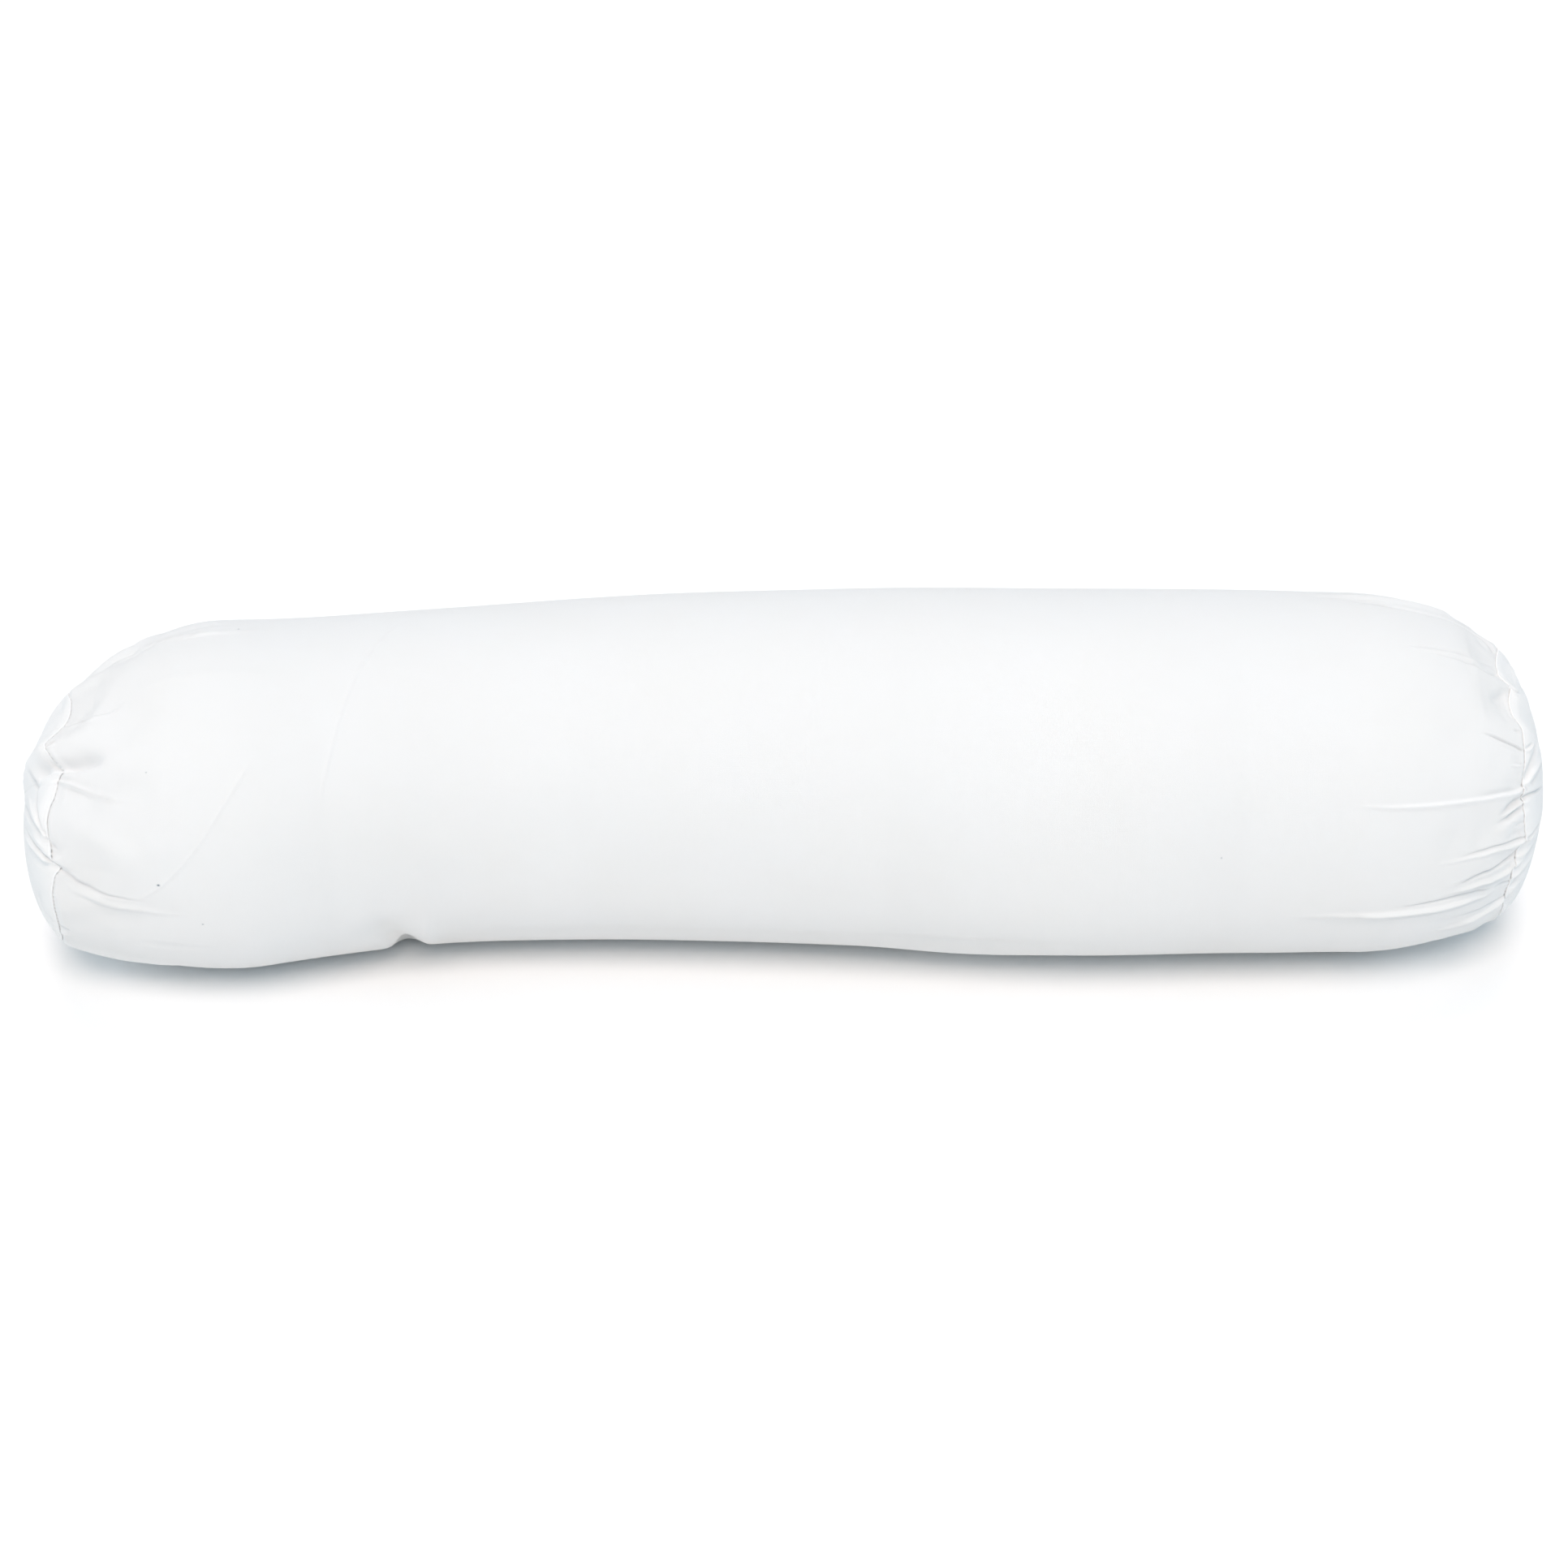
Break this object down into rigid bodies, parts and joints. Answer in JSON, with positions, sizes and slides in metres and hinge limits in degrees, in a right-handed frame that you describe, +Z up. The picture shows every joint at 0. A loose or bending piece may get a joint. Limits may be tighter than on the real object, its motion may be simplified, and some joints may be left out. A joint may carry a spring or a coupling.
{
  "type": "body pillow",
  "caption": "Long round body pillow in plain white cotton: a filled cloth tube with a gentle bend, gathered at its ends into domed round end panels.",
  "frame": {"origin": "middle of the underside of the pillow's box, on the surface that it lies on", "axes": "+X along the pillow towards its right end, +Y away from the front, +Z up"},
  "size_m": [0.9878, 0.2662, 0.228],
  "materials": {
    "body_cotton": "plain white woven cotton, matt",
    "end_panel_cotton": "plain white woven cotton, matt"
  },
  "bodies": {
    "root": {"body": "body_cotton", "end_panel_left": "end_panel_cotton", "end_panel_right": "end_panel_cotton"}
  },
  "joints": []
}
